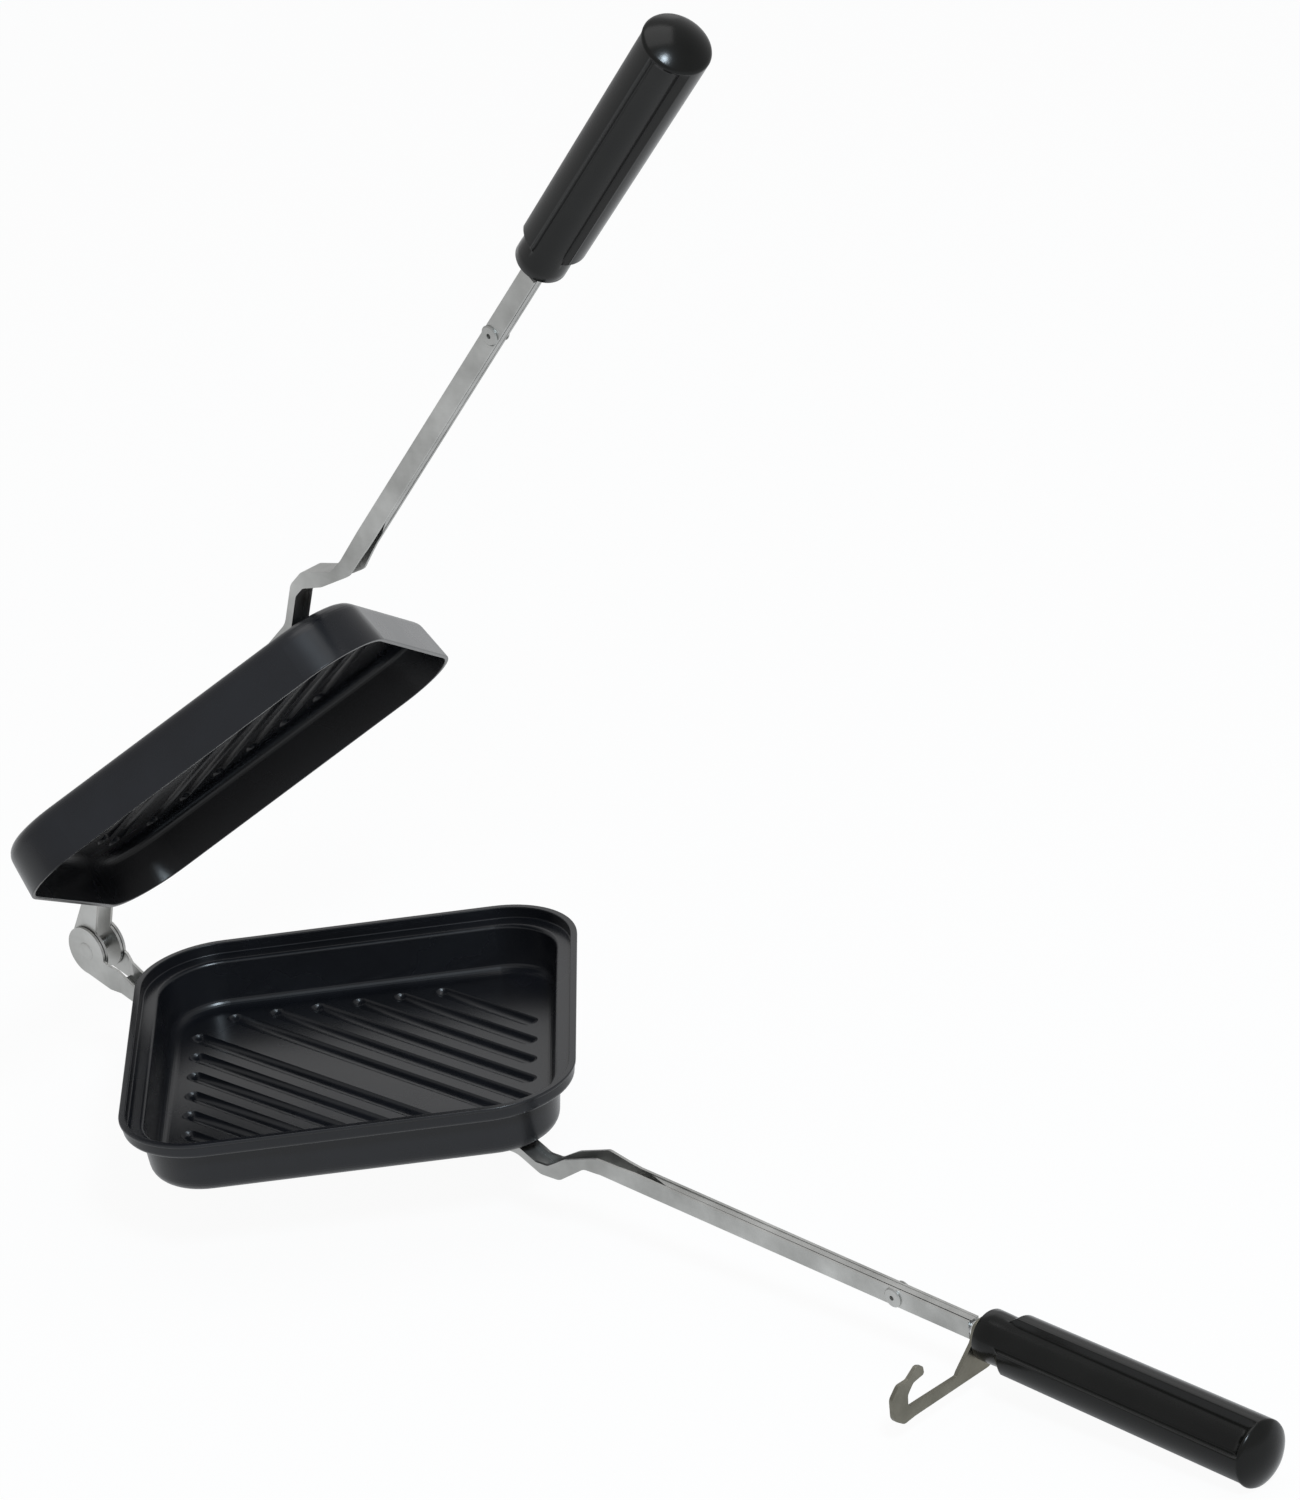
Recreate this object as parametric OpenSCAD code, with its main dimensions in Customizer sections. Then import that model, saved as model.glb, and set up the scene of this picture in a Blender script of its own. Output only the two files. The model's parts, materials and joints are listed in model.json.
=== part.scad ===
// Stovetop sandwich toaster: two pressed pans on channel straps, hinged at one corner.
// X runs from the hinge to the handles along the diagonal of the pans, Y along the hinge pin,
// Z up. The origin is on the underside of the lower strap, below the middle of the pan.

/* [Pans] */
// Outer side of the square lower pan at its rim
pan_side = 125; // [118:1:132]
// Outer side of the upper pan, which drops inside the collar of the lower one
lid_side = 118.7; // [111:0.1:119]
// Corner radius of the lower rim
corner_r = 24; // [18:1:30]
// Sheet thickness of the pans
pan_t = 1.2; // [0.8:0.1:1.5]
// Height of the lower pan's collar above the seam
collar_h = 3.1; // [2:0.1:6]
// Depth of the lower pan below the seam, outside
pan_depth = 15.3; // [12:0.1:18]
// Depth of the upper pan from the seam, outside
lid_depth = 15; // [12:0.1:18]
// How far each wall leans out between its floor and the seam
wall_lean = 1.5; // [0.5:0.1:4]
// Width of the ledge between the lower pan's wall and its rim
ledge_w = 5.2; // [4:0.1:6]
// Play between the upper rim and the ledge that it closes on
seat_gap = 0.3; // [0.3:0.1:0.8]

/* [Ribs] */
// Spacing of the grooves pressed into both floors
rib_pitch = 8.3; // [7:0.1:9]
// Distance of the first groove from the strap's line
rib_first = 7; // [6.6:0.1:8]
// Number of grooves on each side of the plain middle band
rib_count = 6; // [3:1:6]
// Half side of the square field that the grooves fill
rib_field = 48.5; // [42:0.5:50]
// Width of one groove
rib_w = 5; // [3:0.1:5.4]
// Depth of one groove
rib_depth = 1.5; // [0.8:0.1:1.8]

/* [Straps] */
// Sheet thickness of the straps
strap_t = 0.8; // [0.6:0.1:1]
// Width of the channel under the pan and round the bend
strap_w = 6.4; // [6:0.1:8]
// Depth of the channel under the pan
strap_drop = 3.3; // [3:0.1:5]
// Width of the closed-up channel that forms the handle
stem_w = 3.9; // [3.6:0.1:4.6]
// Height of the handle channel
stem_h = 5.1; // [4.6:0.1:6]
// Angle at which the lower handle falls away from the seam
lower_fall = 4.65; // [3:0.05:6]
// Angle at which the upper handle falls away from the seam
upper_fall = 5.6; // [3:0.05:7]
// How far the bend dips below the start of the handle's axis
bend_dip = 6.4; // [5:0.1:8]

/* [Hinge] */
// Distance of the hinge pin from the middle of the pan
hinge_reach = 107.1; // [104:0.1:112]
// Height of the hinge pin above the seam
hinge_rise = 0; // [0:0.1:2]
// Radius of the strap ears
ear_r = 7.3; // [6:0.1:9]
// Radius of the hinge pin
pin_r = 2; // [1.5:0.1:2.5]
// Opening of the two halves as shown
open_angle = 42.1; // [0:0.05:180]

/* [Handles] */
// Distance of the grip's collar from the middle of the pan
grip_x = 234.4; // [226:0.1:242]
// Length of a grip, dome included
grip_len = 94.8; // [85:0.1:105]
// Radius over the ridges at the grip's end
grip_r = 9.2; // [8.8:0.1:10]
// Radius of the grip's front collar
grip_collar_r = 7; // [6:0.1:8]
// Radius of the neck behind the collar
grip_neck_r = 6.4; // [6:0.1:6.8]
// Radius of the four hollows pressed along the grip
flute_r = 20; // [14:1:30]
// How far each grip is turned about its own axis, lower one first
grip_turns = [-13, 16];
// Radius of the steel tang that the grip is pushed on
tang_r = 2; // [1.5:0.1:2.5]
// Distance of the tang's cross rivet from the middle of the pan
rivet_x = 202.8; // [195:0.1:210]

/* [Latch] */
// Reach of the hook from the handle's axis to the inside of its bend
hook_reach = 30.2; // [28:0.1:36]
// Width of the hook's arm
hook_arm_w = 3.5; // [3:0.1:5]
// Thickness of the hook's plate
hook_t = 1.2; // [1:0.1:1.5]

/* [Hidden] */

arc_steps = 8;
seam_z = pan_depth + strap_drop;
corner_c = pan_side / 2 - corner_r;
lid_half = lid_side / 2;
lip_out = 0.7;
lip_w = 1.9;
floor_fillet = 4.5;
run_gap = 0.05;
ear_gap = 0.3;
strap_half = strap_w / 2;
stem_half = stem_w / 2;
ear_in = strap_half + ear_gap;
ear_out = ear_in + strap_t;
arm_fall = 17.5;
ear_slot = ear_r + 0.6;
ear_tuck = ear_r - 0.15;
jog_x = -hinge_reach + ear_r + 0.9;
jog_run = 3;
foot_x = 72;
bend_x = 73;
bend_slope = 0.486;
hump_x = 96;
stem_x = 112.5;
lower_line = [pan_depth + 1, lower_fall];
upper_line = [lid_depth + 2.9, upper_fall];
narrow_x = 96;
narrow_run = 13;
lip_x = 111;
lip_run = 9;
lip_slot = 0.4;
lip_sink = 0.06;
ferrule_len = 5.2;
ferrule_gap = 1;
ferrule_r = 2.8;
stem_end_x = grip_x - ferrule_len;
hook_gap = 0.1;
washer_t = 0.7;
tang_flat_len = 38;
tang_depth = 62;
tang_flat_h = stem_h - 2 * strap_t - 0.4;
insert_len = 40;
insert_r = 3.6;
rivet_r = 1.2;
rivet_head_r = 2.8;
rivet_head_h = 0.6;
neck_at = 8;
lobe_at = 10;
lobe_r = 8.8;
flute_floor = 6.5;
flute_end = 78;
dome_h = 3;
pin_head_r = 2.7;
pin_head_h = 0.4;

function unit(v) = v / norm(v);

// Points of an arc of radius r that rounds corner b between a and c
function corner_arc(a, b, c, r) =
    let (
        p = unit(a - b),
        q = unit(c - b),
        half = acos(p * q) / 2,
        centre = b + unit(p + q) * r / sin(half),
        from = b + p * r / tan(half) - centre,
        to = b + q * r / tan(half) - centre,
        start = atan2(from[1], from[0]),
        turn = atan2(cross(from, to), from * to)
    )
    [for (i = [0:arc_steps])
        centre + r * [cos(start + turn * i / arc_steps), sin(start + turn * i / arc_steps)]];

// A closed outline of [x, y, corner radius] points with its corners rounded
function rounded(path) =
    [for (i = [0:len(path) - 1])
        let (
            n = len(path),
            a = path[(i + n - 1) % n],
            b = path[i],
            c = path[(i + 1) % n]
        )
        each (b[2] > 0
            ? corner_arc([a[0], a[1]], [b[0], b[1]], [c[0], c[1]], b[2])
            : [[b[0], b[1]]])];

// Height of a handle's axis, which starts line[0] below the seam and falls by line[1] degrees
function stem_z(x, line) = -line[0] - (x - stem_x) * tan(line[1]);

// The lower half stands with its seam at seam_z
module lower_half() {
    translate([0, 0, seam_z])
        children();
}

// The upper half is the lower one mirrored in the seam and swung open about the pin
module upper_half() {
    translate([-hinge_reach, 0, seam_z + hinge_rise])
        rotate([0, -open_angle, 0])
            translate([hinge_reach, 0, -hinge_rise])
                mirror([0, 0, 1])
                    children();
}

// Along a handle: X runs out through the grip from the face of its collar
module on_handle(line) {
    translate([grip_x, 0, stem_z(grip_x, line)])
        rotate([0, line[1], 0])
            children();
}

// A solid turned about the X axis from a profile of [distance along X, radius]
module turned(profile) {
    rotate([0, 90, 0])
        rotate_extrude($fn = 96)
            polygon([for (p = profile) [p[1], p[0]]]);
}

// A rod with round ends along X, used for the grooves
module round_rod(half_len, r) {
    turned(concat(
        [for (i = [0:arc_steps]) let (a = -90 + 90 * i / arc_steps)
            [-half_len + r * sin(a), r * cos(a)]],
        [for (i = [0:arc_steps]) let (a = 90 * i / arc_steps)
            [half_len + r * sin(a), r * cos(a)]]));
}

// One wall profile carried round a square with round corners, with its floor
module pressed_shell(profile, floor_z) {
    for (side = [0:3])
        rotate([0, 0, 90 * side]) {
            translate([corner_c, corner_c, 0])
                rotate_extrude(angle = 90, $fn = 96)
                    polygon(profile);
            translate([corner_c, corner_c, 0])
                rotate([90, 0, 0])
                    linear_extrude(height = 2 * corner_c)
                        polygon(profile);
        }
    translate([-corner_c, -corner_c, floor_z])
        cube([2 * corner_c, 2 * corner_c, pan_t]);
}

// All the grooves of one floor, as rods of radius r whose axes lie at height z
module groove_set(r, z) {
    for (side = [-1, 1], k = [0:rib_count - 1]) {
        off = rib_first + k * rib_pitch;
        translate([0, side * off, z])
            round_rod(rib_field * sqrt(2) - off - rib_w / 2, r);
    }
}

// A pan: the shell with its grooves pressed through the floor
module ribbed_pan(profile, floor_z) {
    groove_r = (pow(rib_w / 2, 2) + pow(rib_depth, 2)) / (2 * rib_depth);
    back_r = groove_r + pan_t / 2;
    back_depth = rib_depth - 0.2;
    difference() {
        union() {
            rotate([0, 0, 45])
                pressed_shell(profile, floor_z);
            intersection() {
                groove_set(back_r, floor_z + back_r - back_depth);
                translate([-pan_side, -pan_side, floor_z - pan_t * 2])
                    cube([2 * pan_side, 2 * pan_side, pan_t * 2.5]);
            }
        }
        groove_set(groove_r, floor_z + pan_t + groove_r - rib_depth);
    }
}

// Wall of the lower pan, from its floor over the ledge to the lip of the collar
module lower_pan() {
    floor_z = -pan_depth;
    out = corner_r;
    body = out - ledge_w;
    wall = rounded([
        [0, floor_z, 0],
        [body - wall_lean, floor_z, floor_fillet],
        [body, -seat_gap - pan_t, 1],
        [out - lip_out, -seat_gap - pan_t, 1.4],
        [out - lip_out, collar_h - 1.1, 0.4],
        [out, collar_h - 0.8, 0.3],
        [out, collar_h, 0.3],
        [out - lip_w, collar_h, 0.3],
        [out - lip_w, -seat_gap, 0.4],
        [body - pan_t, -seat_gap, 1.2],
        [body - wall_lean - pan_t, floor_z + pan_t, floor_fillet - pan_t],
        [0, floor_z + pan_t, 0]]);
    color([0.12, 0.12, 0.14])
        lower_half()
            ribbed_pan(wall, floor_z);
}

// Wall of the upper pan, plain from its floor to a rim that fits inside the collar
module upper_pan() {
    floor_z = -lid_depth;
    out = lid_half - corner_c;
    wall = rounded([
        [0, floor_z, 0],
        [out - wall_lean, floor_z, floor_fillet],
        [out, 0, 0.3],
        [out - pan_t, 0, 0.3],
        [out - wall_lean - pan_t, floor_z + pan_t, floor_fillet - pan_t],
        [0, floor_z + pan_t, 0]]);
    color([0.12, 0.12, 0.14])
        upper_half()
            ribbed_pan(wall, floor_z);
}

// Side view of a strap: flange edges above, web below, the end cut square to the handle.
// Its upper side can be raised by rise and its end carried on by over, to cut the channel.
function strap_side(floor_z, pivot_z, line, rise, over) = let (
    end_top = stem_end_x + over + stem_h / 2 * sin(line[1]),
    end_bottom = stem_end_x + over - stem_h / 2 * sin(line[1]),
    start_z = -line[0],
    dip_z = start_z - bend_dip,
    edge_fall_x = bend_x - 1.2 - (floor_z - dip_z - strap_drop) / bend_slope,
    web_fall_x = bend_x - (floor_z - dip_z - strap_drop) / bend_slope
) rounded([
    [-hinge_reach + 4, pivot_z + 0.1 + rise, 0],
    [-foot_x - 4, floor_z + rise, 8],
    [edge_fall_x, floor_z + rise, 8],
    [bend_x - 1.2, dip_z + strap_drop + rise, 3],
    [bend_x + 3.3, dip_z + strap_drop + rise, 3],
    [hump_x - 12.5, start_z + 0.7 + rise, 10],
    [hump_x, start_z + 4.5 + rise, 5],
    [hump_x + 8, start_z + 3.5 + rise, 12],
    [end_top, stem_z(end_top, line) + stem_h / 2 + rise, 0],
    [end_bottom, stem_z(end_bottom, line) - stem_h / 2, 0],
    [hump_x + 13, stem_z(hump_x + 13, line) - stem_h / 2 + 0.1, 12],
    [hump_x + 1, start_z - 0.1, 6],
    [hump_x - 5.2, start_z - 0.1, 4],
    [bend_x + 7.3, dip_z, 5],
    [bend_x, dip_z, 5],
    [web_fall_x, floor_z - strap_drop, 8],
    [-foot_x, floor_z - strap_drop, 10],
    [-hinge_reach - ear_tuck * sin(arm_fall), pivot_z - ear_tuck * cos(arm_fall), 0]]);

// Plan of a strap, inset from its outside by the given amount
module strap_plan(ear_half, inset) {
    side = [
        [-hinge_reach - 2 * ear_r, ear_half - inset],
        [jog_x, ear_half - inset],
        [jog_x + jog_run, strap_half - inset],
        [narrow_x, strap_half - inset],
        [narrow_x + narrow_run, stem_half - inset],
        [stem_end_x + 4, stem_half - inset]];
    polygon(concat(side, [for (i = [len(side) - 1:-1:0]) [side[i][0], -side[i][1]]]));
}

// A side view given the width of the object
module across(points) {
    rotate([90, 0, 0])
        linear_extrude(height = 40, center = true)
            polygon(points);
}

// The channel strap: web on the outside, flanges towards the pan, an ear on each flange
module channel_strap(floor_z, pivot_z, line, ear_half) {
    difference() {
        union() {
            difference() {
                intersection() {
                    union() {
                        across(strap_side(floor_z, pivot_z, line, 0, 0));
                        translate([-hinge_reach, 0, pivot_z])
                            rotate([90, 0, 0])
                                cylinder(h = 40, r = ear_r, center = true, $fn = 96);
                    }
                    translate([0, 0, -60])
                        linear_extrude(height = 90)
                            strap_plan(ear_half, 0);
                }
                intersection() {
                    union() {
                        translate([0, 0, strap_t])
                            across(strap_side(floor_z, pivot_z, line, 30, 1));
                        translate([-hinge_reach - 3 * ear_r, -20, -60])
                            cube([3 * ear_r + ear_slot, 40, 120]);
                    }
                    translate([0, 0, -60])
                        linear_extrude(height = 120)
                            strap_plan(ear_half, strap_t);
                }
            }
            folded_lip(line);
        }
        translate([rivet_x, 0, stem_z(rivet_x, line)])
            rotate([90, 0, 0])
                cylinder(h = 20, r = rivet_r, center = true, $fn = 48);
    }
}

// The far flange's edge, folded over the handle channel up to a narrow slot
module folded_lip(line) {
    start = (lip_x - grip_x) / cos(line[1]);
    root = stem_half - 0.3;
    edge = -stem_half + strap_t + lip_slot;
    on_handle(line)
        translate([0, 0, stem_h / 2 - lip_sink - strap_t])
            linear_extrude(height = strap_t)
                polygon([
                    [start, root],
                    [start + lip_run, edge],
                    [-ferrule_len - lip_sink, edge],
                    [-ferrule_len - lip_sink, root]]);
}

// A hole along Y through both ears
module ear_hole(pivot_z, r) {
    translate([-hinge_reach, 0, pivot_z])
        rotate([90, 0, 0])
            cylinder(h = 40, r = r, center = true, $fn = 64);
}

// Lower strap, with its ears set out round the upper one's
module lower_strap() {
    color([0.72, 0.72, 0.7])
        lower_half()
            difference() {
                channel_strap(-pan_depth, hinge_rise, lower_line, ear_out);
                ear_hole(hinge_rise, pin_r);
            }
}

// Upper strap, with straight ears between the lower ones
module upper_strap() {
    color([0.72, 0.72, 0.7])
        upper_half()
            difference() {
                channel_strap(-lid_depth, -hinge_rise, upper_line, strap_half);
                ear_hole(-hinge_rise, pin_r + run_gap);
            }
}

// Hinge pin with a low domed head outside each lower ear
module hinge_pin() {
    dome = [for (i = [0:arc_steps]) let (a = 90 * i / arc_steps)
        [ear_out + pin_head_h * sin(a), pin_head_r * cos(a)]];
    color([0.66, 0.65, 0.6])
        lower_half()
            translate([-hinge_reach, 0, hinge_rise])
                rotate([0, 0, 90])
                    turned(concat(
                        [for (i = [len(dome) - 1:-1:0]) [-dome[i][0], dome[i][1]]],
                        [[-ear_out, pin_r], [ear_out, pin_r]],
                        dome));
}

// Tang: flat between the flanges, round through the ferrule and into the grip
module tang(line) {
    on_handle(line)
        difference() {
            union() {
                translate([-ferrule_len - tang_flat_len, -stem_half + strap_t, -tang_flat_h / 2])
                    cube([tang_flat_len, stem_w - 2 * strap_t, tang_flat_h]);
                turned([
                    [-ferrule_len, 0],
                    [-ferrule_len, tang_r],
                    [tang_depth - 1, tang_r],
                    [tang_depth, tang_r - 0.6],
                    [tang_depth, 0]]);
            }
            translate([(rivet_x - grip_x) / cos(line[1]), 0, 0])
                rotate([90, 0, 0])
                    cylinder(h = 10, r = rivet_r, center = true, $fn = 48);
        }
}

module lower_tang() {
    color([0.6, 0.6, 0.6])
        lower_half()
            tang(lower_line);
}

module upper_tang() {
    color([0.6, 0.6, 0.6])
        upper_half()
            tang(upper_line);
}

// Cross rivet through the flanges and the tang, a broad head with a small hole on each side
module tang_rivet(line) {
    face = stem_half + rivet_head_h;
    side = [
        [stem_half, rivet_r],
        [stem_half, rivet_head_r],
        [face - 0.3, rivet_head_r],
        [face, rivet_head_r - 0.4],
        [face, 0.7],
        [face - 0.9, 0.7],
        [face - 0.9, 0]];
    translate([rivet_x, 0, stem_z(rivet_x, line)])
        rotate([0, 0, 90])
            turned(concat(
                [for (i = [len(side) - 1:-1:0]) [-side[i][0], side[i][1]]],
                side));
}

module lower_tang_rivet() {
    color([0.66, 0.65, 0.6])
        lower_half()
            tang_rivet(lower_line);
}

module upper_tang_rivet() {
    color([0.66, 0.65, 0.6])
        upper_half()
            tang_rivet(upper_line);
}

// Ferrule: a slim sleeve on the tang, ending len behind the end of the channel
module ferrule(line, len) {
    on_handle(line)
        turned([
            [-ferrule_len + ferrule_gap, tang_r],
            [-ferrule_len + ferrule_gap, ferrule_r - 0.2],
            [-ferrule_len + ferrule_gap + 0.2, ferrule_r],
            [-ferrule_len + len, ferrule_r],
            [-ferrule_len + len, tang_r]]);
}

module lower_ferrule() {
    color([0.85, 0.85, 0.83])
        lower_half()
            ferrule(lower_line, ferrule_len - washer_t - hook_t - 2 * hook_gap);
}

module upper_ferrule() {
    color([0.85, 0.85, 0.83])
        upper_half()
            ferrule(upper_line, ferrule_len);
}

// Threaded insert moulded into the grip, drawn as a flanged sleeve
module grip_insert(line) {
    on_handle(line)
        turned([
            [2, tang_r],
            [2, insert_r],
            [6, insert_r],
            [6, insert_r - 0.6],
            [insert_len - 4, insert_r - 0.6],
            [insert_len - 4, insert_r],
            [insert_len, insert_r],
            [insert_len, tang_r]]);
}

module lower_grip_insert() {
    color([0.75, 0.62, 0.3])
        lower_half()
            grip_insert(lower_line);
}

module upper_grip_insert() {
    color([0.75, 0.62, 0.3])
        upper_half()
            grip_insert(upper_line);
}

// Moulded grip: turned collar, neck, body with four hollows along it and a shallow dome
module grip(line, turn) {
    shoulder = grip_len - dome_h;
    dome_edge = grip_r - 0.9;
    dome_r = (pow(dome_edge, 2) + pow(dome_h, 2)) / (2 * dome_h);
    dome_angle = asin(dome_edge / dome_r);
    steps = 2 * arc_steps;
    outline = concat(
        [[0, tang_r], [0, grip_collar_r - 0.8], [0.25, grip_collar_r - 0.25], [0.8, grip_collar_r],
            [3, grip_collar_r], [5.5, grip_collar_r - 0.25], [neck_at, grip_neck_r],
            [lobe_at, grip_neck_r], [lobe_at + 0.1, lobe_r - 0.4], [lobe_at + 0.6, lobe_r],
            [shoulder - 0.9, grip_r], [shoulder - 0.25, grip_r - 0.3], [shoulder, dome_edge]],
        [for (i = [1:steps]) let (a = dome_angle * (1 - i / steps))
            [grip_len - dome_r + dome_r * cos(a), dome_r * sin(a)]],
        [[tang_depth + 3, 0], [tang_depth, tang_r], [insert_len, tang_r], [insert_len, insert_r],
            [insert_len - 4, insert_r], [insert_len - 4, insert_r - 0.6], [6, insert_r - 0.6],
            [6, insert_r], [2, insert_r], [2, tang_r]]);
    flute = concat(
        [[neck_at + 1, 0], [neck_at + 1, flute_r]],
        [for (i = [0:steps]) let (a = 90 * i / steps)
            [flute_end + flute_r * sin(a), flute_r * cos(a)]]);
    on_handle(line)
        difference() {
            turned(outline);
            for (side = [0:3])
                rotate([turn + 45 + 90 * side, 0, 0])
                    translate([0, flute_floor + flute_r, 0])
                        turned(flute);
        }
}

module lower_grip() {
    color([0.1, 0.1, 0.1])
        lower_half()
            grip(lower_line, grip_turns[0]);
}

module upper_grip() {
    color([0.1, 0.1, 0.1])
        upper_half()
            grip(upper_line, grip_turns[1]);
}

// Latch hook: a stamped plate that swings about the lower tang, its arm towards -Y as shown
module latch_hook() {
    arm_top = -7.2;
    arm_bottom = arm_top - hook_arm_w;
    leg_out = -hook_reach - 5.6;
    outline = rounded([
        [4.8, -1, 3],
        [3.6, 4.6, 3],
        [-3.6, 4.6, 3],
        [-5.4, -0.4, 2],
        [-11.2, -6.2, 1.5],
        [-11.9, arm_top, 0.6],
        [-hook_reach, arm_top, 1.4],
        [-hook_reach + 0.2, -3.4, 2],
        [-hook_reach + 2.4, -0.9, 2],
        [-hook_reach + 6.6, -0.2, 0.8],
        [-hook_reach + 6.3, 2.2, 1],
        [-hook_reach + 4.2, 3.2, 1.2],
        [-hook_reach + 0.6, 0.7, 1.5],
        [-hook_reach - 2.8, 0.7, 1.5],
        [leg_out, -2.2, 2.4],
        [leg_out, -8.4, 3],
        [-hook_reach - 1.8, arm_bottom - 0.5, 2],
        [-hook_reach + 2.2, arm_bottom, 4],
        [0.5, arm_bottom + 0.6, 3],
        [4.4, -6, 2.5]]);
    color([0.6, 0.58, 0.5])
        lower_half()
            on_handle(lower_line)
                translate([-washer_t - hook_gap - hook_t, 0, 0])
                    rotate([90, 0, 90])
                        difference() {
                            linear_extrude(height = hook_t)
                                polygon(outline);
                            translate([0, 0, -1])
                                cylinder(h = hook_t + 2, r = tang_r + run_gap, $fn = 64);
                        }
}

// Dished washer that presses the hook against the ferrule
module latch_washer() {
    color([0.8, 0.8, 0.78])
        lower_half()
            on_handle(lower_line)
                turned([
                    [-washer_t, tang_r],
                    [-washer_t, 3.4],
                    [-washer_t + 0.3, 4.6],
                    [0, 4.6],
                    [0, tang_r]]);
}

lower_pan();
lower_strap();
lower_tang();
lower_tang_rivet();
lower_ferrule();
lower_grip_insert();
lower_grip();
hinge_pin();
latch_hook();
latch_washer();
upper_pan();
upper_strap();
upper_tang();
upper_tang_rivet();
upper_ferrule();
upper_grip_insert();
upper_grip();
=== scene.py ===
# Studio scene for a stovetop sandwich toaster: finishes, lobed grips, floor, lamps and camera
import json
import math

import bmesh
import bpy
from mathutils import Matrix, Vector


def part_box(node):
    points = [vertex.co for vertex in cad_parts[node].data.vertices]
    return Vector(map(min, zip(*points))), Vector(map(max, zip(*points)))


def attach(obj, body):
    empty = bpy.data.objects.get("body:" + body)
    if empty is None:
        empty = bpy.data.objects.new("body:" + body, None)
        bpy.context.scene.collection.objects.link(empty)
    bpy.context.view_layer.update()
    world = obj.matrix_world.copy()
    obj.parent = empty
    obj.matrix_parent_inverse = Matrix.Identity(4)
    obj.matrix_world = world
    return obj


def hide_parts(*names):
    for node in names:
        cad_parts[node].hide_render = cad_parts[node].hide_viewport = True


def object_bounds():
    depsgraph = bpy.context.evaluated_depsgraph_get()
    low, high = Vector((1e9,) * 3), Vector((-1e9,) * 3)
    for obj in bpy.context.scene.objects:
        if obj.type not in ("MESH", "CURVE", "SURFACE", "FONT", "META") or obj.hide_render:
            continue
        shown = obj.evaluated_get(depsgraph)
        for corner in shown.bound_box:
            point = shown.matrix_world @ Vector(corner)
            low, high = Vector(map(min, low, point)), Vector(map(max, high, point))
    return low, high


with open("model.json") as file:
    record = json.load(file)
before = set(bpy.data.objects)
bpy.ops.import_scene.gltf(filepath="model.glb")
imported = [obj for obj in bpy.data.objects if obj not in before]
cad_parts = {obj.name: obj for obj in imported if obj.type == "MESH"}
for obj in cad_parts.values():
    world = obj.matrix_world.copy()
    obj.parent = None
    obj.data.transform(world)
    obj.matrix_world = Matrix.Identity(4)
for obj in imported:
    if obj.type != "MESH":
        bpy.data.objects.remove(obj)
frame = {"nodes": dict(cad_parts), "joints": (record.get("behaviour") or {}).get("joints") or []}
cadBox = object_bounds()
bpy.ops.object.select_all(action="DESELECT")
hinge = next(joint for joint in frame["joints"] if joint["name"] == "pan_hinge")
openAngle = math.radians(-hinge["range_deg"][0])  # the upper half stands open by this much
print("frame loaded,", len(frame["nodes"]), "nodes")


def startMaterial(name):
    material = bpy.data.materials.new(name)
    material.use_nodes = True
    tree = material.node_tree
    return material, tree, tree.nodes["Principled BSDF"]


def addNode(tree, kind, inputs=None, **settings):
    node = tree.nodes.new(kind)
    for name, value in settings.items():
        setattr(node, name, value)
    for name, value in (inputs or {}).items():
        node.inputs[name].default_value = value
    return node


def objectPoints(tree, turn=(0, 0, 0), stretch=(1, 1, 1)):
    place = tree.nodes.new("ShaderNodeTexCoord")
    mapping = addNode(tree, "ShaderNodeMapping", {"Rotation": turn, "Scale": stretch})
    tree.links.new(place.outputs["Object"], mapping.inputs["Vector"])
    return mapping.outputs["Vector"]


noiseRoughness = 0.55


def noise(tree, points, scale, detail):
    texture = addNode(tree, "ShaderNodeTexNoise",
                      {"Scale": scale, "Detail": detail, "Roughness": noiseRoughness})
    tree.links.new(points, texture.inputs["Vector"])
    return texture.outputs["Fac"]


def blendColours(tree, factor, finish, span):
    node = addNode(tree, "ShaderNodeValToRGB")
    colours = (finish["dark"], finish["light"])
    for element, position, colour in zip(node.color_ramp.elements, span, colours):
        element.position = position
        element.color = (*colour, 1.0)
    tree.links.new(factor, node.inputs["Fac"])
    return node.outputs["Color"]


def spread(tree, factor, low, high):
    node = addNode(tree, "ShaderNodeMapRange", {"To Min": low, "To Max": high})
    tree.links.new(factor, node.inputs["Value"])
    return node.outputs["Result"]


def addBump(tree, shader, height, distance, strength):
    bump = addNode(tree, "ShaderNodeBump", {"Distance": distance, "Strength": strength})
    tree.links.new(height, bump.inputs["Height"])
    tree.links.new(bump.outputs["Normal"], shader.inputs["Normal"])


panCoat = {
    "dark": (0.0045, 0.0048, 0.006),
    "light": (0.0085, 0.009, 0.0115),
    "roughness": (0.23, 0.31),
    "specular": 0.38,
    "cloudSize": 38,
    "cloudDetail": 3,
    "cloudSpan": (0.3, 0.75),
    "grainSize": 2600,
    "grainDetail": 2,
    "grainDepth": 0.000008,
    "grainStrength": 0.5,
}
gripFinish = {
    "dark": (0.0026, 0.0026, 0.0022),
    "light": (0.0055, 0.0054, 0.0046),
    "roughness": (0.17, 0.25),
    "specular": 0.22,
    "cloudSize": 60,
    "cloudDetail": 4,
    "cloudSpan": (0.3, 0.72),
    "grainSize": 1500,
    "grainDetail": 2,
    "grainDepth": 0.00002,
    "grainStrength": 0.4,
}


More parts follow.
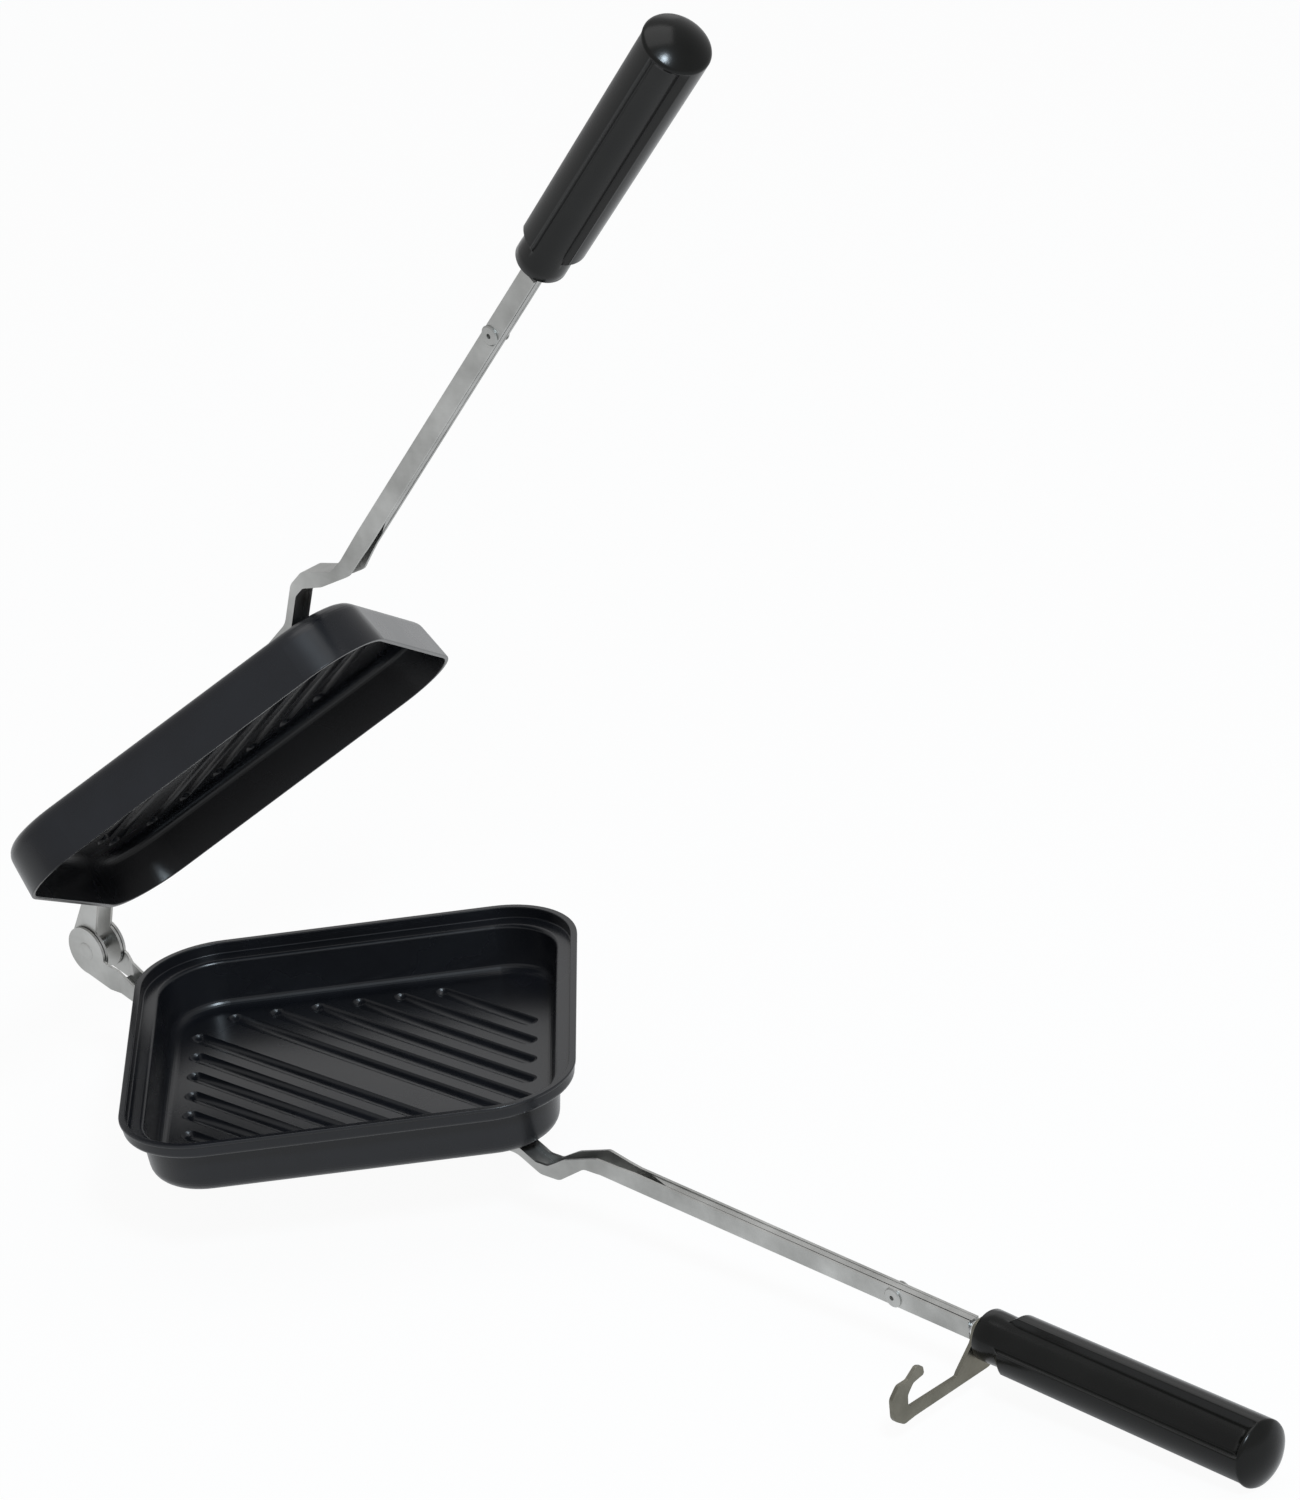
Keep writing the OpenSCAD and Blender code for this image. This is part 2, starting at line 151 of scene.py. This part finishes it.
def blackSurface(name, finish):
    material, tree, shader = startMaterial(name)
    points = objectPoints(tree)
    cloud = noise(tree, points, finish["cloudSize"], finish["cloudDetail"])
    grain = noise(tree, points, finish["grainSize"], finish["grainDetail"])
    tree.links.new(blendColours(tree, cloud, finish, finish["cloudSpan"]),
                   shader.inputs["Base Color"])
    tree.links.new(spread(tree, cloud, *finish["roughness"]), shader.inputs["Roughness"])
    addBump(tree, shader, grain, finish["grainDepth"], finish["grainStrength"])
    shader.inputs["Specular IOR Level"].default_value = finish["specular"]
    return material


# Streaks run along the drawn direction, clouds lie in the colour; both are shared by all metals
metalGrain = {
    "streakSize": 1100,
    "streakDetail": 2,
    "streakStrength": 0.2,
    "cloudSize": 55,
    "cloudDetail": 4,
    "cloudSpan": (0.28, 0.7),
}
strapFinish = {
    "dark": (0.305, 0.305, 0.292),
    "light": (0.525, 0.525, 0.51),
    "roughness": (0.33, 0.43),
    "grainLength": 0.05,
    "grainDepth": 0.000002,
}


def drawnSteel(name, finish, turn):
    material, tree, shader = startMaterial(name)
    points = objectPoints(tree, (0, turn, 0), (finish["grainLength"], 1, 1))
    streaks = noise(tree, points, metalGrain["streakSize"], metalGrain["streakDetail"])
    cloud = noise(tree, objectPoints(tree), metalGrain["cloudSize"], metalGrain["cloudDetail"])
    tree.links.new(blendColours(tree, cloud, finish, metalGrain["cloudSpan"]),
                   shader.inputs["Base Color"])
    tree.links.new(spread(tree, streaks, *finish["roughness"]), shader.inputs["Roughness"])
    addBump(tree, shader, streaks, finish["grainDepth"], metalGrain["streakStrength"])
    shader.inputs["Metallic"].default_value = 1.0
    return material


hookFinish = {
    "dark": (0.13, 0.125, 0.1),
    "light": (0.25, 0.24, 0.2),
    "roughness": (0.3, 0.5),
    "grainLength": 0.3,
    "grainDepth": 0.00002,
}
tangFinish = {
    "dark": (0.3, 0.3, 0.3),
    "light": (0.46, 0.46, 0.46),
    "roughness": (0.3, 0.45),
    "grainLength": 0.05,
    "grainDepth": 0.00001,
}
ferruleFinish = {
    "dark": (0.68, 0.68, 0.67),
    "light": (0.84, 0.84, 0.83),
    "roughness": (0.2, 0.34),
    "grainLength": 3.0,
    "grainDepth": 0.00001,
}
insertFinish = {
    "dark": (0.5, 0.36, 0.12),
    "light": (0.72, 0.56, 0.25),
    "roughness": (0.25, 0.4),
    "grainLength": 3.0,
    "grainDepth": 0.00001,
}


def paint(material, *names):
    for name in names:
        node = frame["nodes"][name]
        node.data.materials.clear()
        node.data.materials.append(material)


paint(blackSurface("bakedBlackCoat", panCoat), "lower_pan", "upper_pan")
paint(drawnSteel("lowerDrawnSteel", strapFinish, 0),
      "lower_strap", "lower_tang_rivet", "hinge_pin")
paint(drawnSteel("upperDrawnSteel", strapFinish, openAngle), "upper_strap", "upper_tang_rivet")
paint(drawnSteel("hookSteel", hookFinish, 0), "latch_hook")
paint(drawnSteel("tangSteel", tangFinish, 0), "lower_tang", "upper_tang")
paint(drawnSteel("ferruleMetal", ferruleFinish, 0),
      "lower_ferrule", "upper_ferrule", "latch_washer")
paint(drawnSteel("insertBrass", insertFinish, 0), "lower_grip_insert", "upper_grip_insert")
blackPlastic = blackSurface("mouldedGrip", gripFinish)
paint(blackPlastic, "lower_grip", "upper_grip")
print("finishes made")

# Each grip is a round core with three broad lobes that run into a domed cap.
# A ring is its distance behind the front of the collar and its radius, in metres.
lobedGrip = {
    "around": 120,
    "bore": [(0.065, 0.0004), (0.062, 0.002), (0.04, 0.002), (0.04, 0.0036), (0.002, 0.0036),
             (0.002, 0.002), (0.0, 0.002)],
    "collar": [(0.0, 0.0066), (0.00012, 0.00685), (0.0004, 0.007), (0.003, 0.007),
               (0.0055, 0.00692), (0.0078, 0.00685)],
    "lobeStart": (0.0104, 0.00685),  # the lobes have risen to their first radius here
    "lobeEnd": (0.0874, 0.00685),
    "lobeRadii": (0.0087, 0.0092),
    "lobes": 3,
    "lobeHalfAngle": 25.0,
    "corePullOut": [(0.0886, 0.0071), (0.0896, 0.0077), (0.0904, 0.0085), (0.0907, 0.00918)],
    "cap": [(0.0911, 0.00918), (0.0915, 0.00898), (0.0919, 0.00845), (0.0927, 0.0073),
            (0.0936, 0.0055), (0.09435, 0.0034), (0.09474, 0.0014)],
    "edgeRound": 0.0006,
    "roundSteps": 3,
    "roundFrom": 40.0,
    "smoothBelow": 35.0,
    "ringReach": 0.00003,  # how near a vertex must lie to a ring to belong to it
}
gripPlaces = {
    "lower": {"at": (0.2344, 0.0, -0.007615), "turn": 67.6, "fall": 4.65},
    "upper": {"at": (0.12627, 0.0, 0.26970), "turn": 35.0, "fall": -47.70},
}


def selectRing(piece, along, wanted):
    mesh = bmesh.from_edit_mesh(piece.data)
    for vertex in mesh.verts:
        onRing = abs(vertex.co.x - along) < lobedGrip["ringReach"]
        angle = math.degrees(math.atan2(vertex.co.z, vertex.co.y))
        step = 360 / lobedGrip["lobes"]
        onLobe = abs((angle + step / 2) % step - step / 2) < lobedGrip["lobeHalfAngle"]
        vertex.select_set(onRing and (wanted == "all" or onLobe == (wanted == "lobes")))
    mesh.select_flush_mode()
    bmesh.update_edit_mesh(piece.data)


def scaleRing(factor):
    bpy.ops.transform.resize(value=(1, factor, factor), center_override=(0, 0, 0))


def pullRings(here, rings):
    for along, radius in rings:
        bpy.ops.mesh.extrude_region_move(
            TRANSFORM_OT_translate={"value": (along - here[0], 0, 0)})
        scaleRing(radius / here[1])
        here = (along, radius)
    return here


def mouldGrip():
    bpy.ops.object.select_all(action="DESELECT")
    start = lobedGrip["bore"][0]
    bpy.ops.mesh.primitive_circle_add(vertices=lobedGrip["around"], radius=start[1],
                                      fill_type="NGON", location=(start[0], 0, 0),
                                      rotation=(0, math.pi / 2, 0))
    grip = bpy.context.object
    bpy.ops.object.transform_apply(location=True, rotation=True, scale=True)
    bpy.ops.object.mode_set(mode="EDIT")
    bpy.ops.mesh.select_mode(type="VERT")
    bpy.ops.mesh.select_all(action="SELECT")
    here = pullRings(start, lobedGrip["bore"][1:] + lobedGrip["collar"])
    low, high = lobedGrip["lobeRadii"]
    here = pullRings(here, [lobedGrip["lobeStart"]])
    selectRing(grip, here[0], "lobes")
    scaleRing(low / here[1])
    selectRing(grip, here[0], "all")
    here = pullRings(here, [lobedGrip["lobeEnd"]])
    selectRing(grip, here[0], "lobes")
    scaleRing(high / low)
    selectRing(grip, here[0], "all")
    for along, radius in lobedGrip["corePullOut"]:
        here = pullRings(here, [(along, here[1])])
        selectRing(grip, along, "core")
        scaleRing(radius / here[1])
        selectRing(grip, along, "all")
        here = (along, radius)
    pullRings(here, lobedGrip["cap"])
    bpy.ops.mesh.select_all(action="SELECT")
    bpy.ops.mesh.normals_make_consistent(inside=False)
    bpy.ops.object.mode_set(mode="OBJECT")
    rounding = grip.modifiers.new("edgeRound", "BEVEL")
    rounding.width = lobedGrip["edgeRound"]
    rounding.segments = lobedGrip["roundSteps"]
    rounding.limit_method = "ANGLE"
    rounding.angle_limit = math.radians(lobedGrip["roundFrom"])
    bpy.ops.object.modifier_apply(modifier="edgeRound")
    bpy.ops.object.shade_smooth_by_angle(angle=math.radians(lobedGrip["smoothBelow"]))
    grip.data.materials.append(blackPlastic)
    return grip


def fitGrips():
    first = mouldGrip()
    bpy.ops.object.duplicate()
    second = bpy.context.object
    for grip, half in ((first, "lower"), (second, "upper")):
        place = gripPlaces[half]
        bpy.ops.object.select_all(action="DESELECT")
        grip.select_set(True)
        bpy.context.view_layer.objects.active = grip
        grip.name = half + "LobedGrip"
        grip.rotation_euler = (math.radians(place["turn"]), math.radians(place["fall"]), 0)
        grip.location = place["at"]
        bpy.ops.object.transform_apply(location=True, rotation=True, scale=True)
        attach(grip, half + "_half")
        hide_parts(half + "_grip")
        low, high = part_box(half + "_grip")
        points = [vertex.co for vertex in grip.data.vertices]
        below = [round(1000 * (low[i] - min(p[i] for p in points)), 2) for i in range(3)]
        above = [round(1000 * (max(p[i] for p in points) - high[i]), 2) for i in range(3)]
        print(half, "grip:", len(points), "vertices, past the plain grip by", below, above, "mm")


fitGrips()
print("grips fitted")

white = (1.0, 1.0, 1.0, 1.0)


def whiteShare(tree, seenByCamera, mirrored):
    path = addNode(tree, "ShaderNodeLightPath")
    seen = addNode(tree, "ShaderNodeMath", {1: seenByCamera}, operation="MULTIPLY")
    bounced = addNode(tree, "ShaderNodeMath", operation="ADD", use_clamp=True)
    share = addNode(tree, "ShaderNodeMath", {1: mirrored}, operation="MULTIPLY_ADD",
                    use_clamp=True)
    tree.links.new(path.outputs["Is Camera Ray"], seen.inputs[0])
    tree.links.new(path.outputs["Is Glossy Ray"], bounced.inputs[0])
    tree.links.new(path.outputs["Is Transmission Ray"], bounced.inputs[1])
    tree.links.new(bounced.outputs[0], share.inputs[0])
    tree.links.new(seen.outputs[0], share.inputs[2])
    return share.outputs[0]


studioFloor = {
    "size": 9.0,
    "below": 0.001,
    "colour": (0.86, 0.86, 0.86, 1.0),
    "roughness": 0.9,
    "specular": 0.0,
    "seen": 0.95,  # share of plain white in what the camera sees; the rest takes the shadow
    "mirrored": 0.66,  # how bright the floor looks in glossy surfaces
}


def buildFloor():
    lowest = cadBox[0].z - studioFloor["below"]
    bpy.ops.mesh.primitive_plane_add(size=studioFloor["size"], location=(0, 0, lowest))
    floor = bpy.context.object
    floor.name = "studioFloor"
    material, tree, shader = startMaterial("floorPaper")
    shader.inputs["Base Color"].default_value = studioFloor["colour"]
    shader.inputs["Roughness"].default_value = studioFloor["roughness"]
    shader.inputs["Specular IOR Level"].default_value = studioFloor["specular"]
    glow = addNode(tree, "ShaderNodeEmission", {"Color": white, "Strength": 1.0})
    mix = addNode(tree, "ShaderNodeMixShader")
    share = whiteShare(tree, studioFloor["seen"], studioFloor["mirrored"])
    tree.links.new(share, mix.inputs["Fac"])
    tree.links.new(shader.outputs["BSDF"], mix.inputs[1])
    tree.links.new(glow.outputs["Emission"], mix.inputs[2])
    tree.links.new(mix.outputs["Shader"], tree.nodes["Material Output"].inputs["Surface"])
    floor.data.materials.append(material)


buildFloor()
print("floor laid")

roomLight = {
    "colour": (0.93, 0.95, 1.0, 1.0),
    "strength": 0.18,
    "seen": 1.0,  # the camera sees a white backdrop
    "mirrored": 0.48,  # how bright the backdrop looks in glossy surfaces
}


def lightRoom():
    world = bpy.data.worlds.new("studioRoom")
    world.use_nodes = True
    tree = world.node_tree
    room = tree.nodes["Background"]
    room.inputs["Color"].default_value = roomLight["colour"]
    room.inputs["Strength"].default_value = roomLight["strength"]
    backdrop = addNode(tree, "ShaderNodeBackground", {"Color": white, "Strength": 1.0})
    mix = addNode(tree, "ShaderNodeMixShader")
    share = whiteShare(tree, roomLight["seen"], roomLight["mirrored"])
    tree.links.new(share, mix.inputs["Fac"])
    tree.links.new(room.outputs["Background"], mix.inputs[1])
    tree.links.new(backdrop.outputs["Background"], mix.inputs[2])
    tree.links.new(mix.outputs["Shader"], tree.nodes["World Output"].inputs["Surface"])
    bpy.context.scene.world = world


lampSet = {
    "keyLamp": {"place": (1.52, -0.72, 1.62), "size": (0.35, 0.35), "power": 38,
                "colour": (0.76, 0.89, 1.0)},
    "backLamp": {"place": (-1.25, 1.15, 1.15), "size": (1.5, 0.8), "power": 1.5,
                 "colour": (1.0, 1.0, 1.0)},
    "topLamp": {"place": (0.1, 0.1, 2.1), "size": (1.6, 1.6), "power": 13,
                "colour": (1.0, 1.0, 1.0)},
}
lampAim = Vector((0.02, 0.0, 0.08))


def hangLamps():
    for name, lamp in lampSet.items():
        bpy.ops.object.light_add(type="AREA", location=lamp["place"])
        light = bpy.context.object
        light.name = name
        light.data.shape = "RECTANGLE"
        light.data.size, light.data.size_y = lamp["size"]
        light.data.energy = lamp["power"]
        light.data.color = lamp["colour"]
        towards = lampAim - Vector(lamp["place"])
        light.rotation_euler = towards.to_track_quat("-Z", "Y").to_euler()


lightRoom()
hangLamps()
print("lamps hung")

cameraView = {
    "place": (1.50767, -1.21504, 0.96820),
    "turnDegrees": (65.312, 7.883, 44.791),
    "lens": 188.18,
    "sensor": 36.0,  # across the long side of the picture
    "clip": (0.01, 50.0),
}


def placeCamera():
    bpy.ops.object.camera_add(location=cameraView["place"])
    camera = bpy.context.object
    camera.name = "studioCamera"
    camera.rotation_euler = [math.radians(angle) for angle in cameraView["turnDegrees"]]
    camera.data.sensor_fit = "AUTO"
    camera.data.sensor_width = cameraView["sensor"]
    camera.data.lens = cameraView["lens"]
    camera.data.clip_start, camera.data.clip_end = cameraView["clip"]
    bpy.context.scene.camera = camera


placeCamera()
bpy.context.scene.view_settings.view_transform = "Standard"
print("camera placed")
